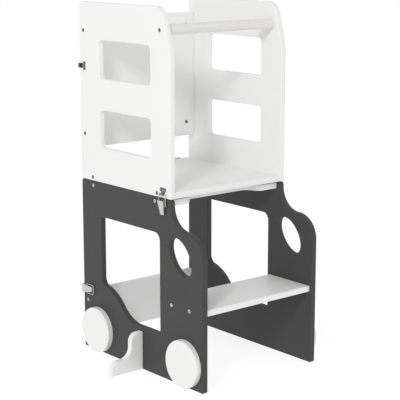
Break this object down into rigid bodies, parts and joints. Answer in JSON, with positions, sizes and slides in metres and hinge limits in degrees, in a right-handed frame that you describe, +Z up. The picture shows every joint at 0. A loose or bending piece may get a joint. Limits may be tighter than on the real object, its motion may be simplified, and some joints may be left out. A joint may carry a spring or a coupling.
{
  "type": "toddler kitchen helper stool",
  "caption": "Convertible standing tower for toddlers: car-shaped lower unit with step and desk, hinged upper unit with windows, back board and handrail.",
  "frame": {"origin": "on the floor, under the middle of the closed tower's box", "axes": "+Z up, -Y towards the front where the child climbs in, +X towards the stool's right side"},
  "size_m": [0.56, 0.4914, 0.9],
  "materials": {
    "white_paint": "satin white lacquer on board",
    "dark_paint": "matt anthracite lacquer on board",
    "pale_wood": "clear-varnished pale wood",
    "bright_zinc": "bright zinc plated",
    "dark_zinc": "dark zinc plated"
  },
  "bodies": {
    "lower_unit": {"lower_left_side": "dark_paint", "lower_right_side": "dark_paint", "desk_board": "white_paint", "step_board": "white_paint", "lower_back_board": "white_paint", "rear_left_wheel": "white_paint", "front_left_wheel": "white_paint", "rear_right_wheel": "white_paint", "front_right_wheel": "white_paint", "left_foot": "white_paint", "right_foot": "white_paint", "lower_bolts": "bright_zinc", "lower_barrel_nuts": "bright_zinc", "wheel_dowels": "pale_wood", "foot_dowels": "pale_wood", "left_hinge_lower_leaf": "bright_zinc", "right_hinge_lower_leaf": "bright_zinc", "hinge_pins": "dark_zinc", "lower_hinge_screws": "bright_zinc", "front_left_latch_base": "bright_zinc", "front_right_latch_base": "bright_zinc", "rear_left_latch_base": "bright_zinc", "rear_right_latch_base": "bright_zinc", "latch_pins": "dark_zinc", "latch_base_screws": "dark_zinc"},
    "upper_unit": {"upper_left_side": "white_paint", "upper_right_side": "white_paint", "platform_board": "white_paint", "upper_back_board": "white_paint", "handrail": "pale_wood", "handrail_bolts": "dark_zinc", "upper_bolts": "dark_zinc", "upper_barrel_nuts": "dark_zinc", "left_hinge_upper_leaf": "bright_zinc", "right_hinge_upper_leaf": "bright_zinc", "upper_hinge_screws": "bright_zinc", "front_left_keeper": "dark_zinc", "front_right_keeper": "dark_zinc", "rear_left_keeper": "dark_zinc", "rear_right_keeper": "dark_zinc", "keeper_screws": "dark_zinc"},
    "front_left_lever": {"front_left_lever": "bright_zinc"},
    "front_right_lever": {"front_right_lever": "bright_zinc"},
    "rear_left_lever": {"rear_left_lever": "bright_zinc"},
    "rear_right_lever": {"rear_right_lever": "bright_zinc"},
    "front_left_loop": {"front_left_loop": "bright_zinc"},
    "front_right_loop": {"front_right_loop": "bright_zinc"},
    "rear_left_loop": {"rear_left_loop": "bright_zinc"},
    "rear_right_loop": {"rear_right_loop": "bright_zinc"}
  },
  "joints": [
    {"name": "fold", "type": "hinge", "parent": "lower_unit", "child": "upper_unit", "pos_m": [0, 0.24275, 0.45], "axis": [-1, 0, 0], "range_deg": [0, 180]},
    {"name": "front_left_lever_turn", "type": "hinge", "parent": "lower_unit", "child": "front_left_lever", "pos_m": [-0.1905, -0.09825, 0.441], "axis": [0, 1, 0], "range_deg": [0, 90]},
    {"name": "front_left_loop_swing", "type": "hinge", "parent": "front_left_lever", "child": "front_left_loop", "pos_m": [-0.1885, -0.09825, 0.432], "axis": [0, 1, 0], "range_deg": [-64.8, 0]},
    {"name": "rear_left_lever_turn", "type": "hinge", "parent": "lower_unit", "child": "rear_left_lever", "pos_m": [-0.1905, 0.23025, 0.16], "axis": [0, 0, -1], "range_deg": [0, 90]},
    {"name": "rear_left_loop_swing", "type": "hinge", "parent": "rear_left_lever", "child": "rear_left_loop", "pos_m": [-0.1885, 0.22125, 0.16], "axis": [0, 0, -1], "range_deg": [0, 105]},
    {"name": "front_right_lever_turn", "type": "hinge", "parent": "lower_unit", "child": "front_right_lever", "pos_m": [0.1905, -0.09825, 0.441], "axis": [0, -1, 0], "range_deg": [0, 90]},
    {"name": "front_right_loop_swing", "type": "hinge", "parent": "front_right_lever", "child": "front_right_loop", "pos_m": [0.1885, -0.09825, 0.432], "axis": [0, -1, 0], "range_deg": [-64.8, 0]},
    {"name": "rear_right_lever_turn", "type": "hinge", "parent": "lower_unit", "child": "rear_right_lever", "pos_m": [0.1905, 0.23025, 0.16], "axis": [0, 0, 1], "range_deg": [0, 90]},
    {"name": "rear_right_loop_swing", "type": "hinge", "parent": "rear_right_lever", "child": "rear_right_loop", "pos_m": [0.1885, 0.22125, 0.16], "axis": [0, 0, 1], "range_deg": [0, 105]}
  ],
  "couplings": [
    {"joint": "front_left_loop_swing", "follows": "front_left_lever_turn", "ratio": -0.72},
    {"joint": "front_right_loop_swing", "follows": "front_right_lever_turn", "ratio": -0.72}
  ]
}
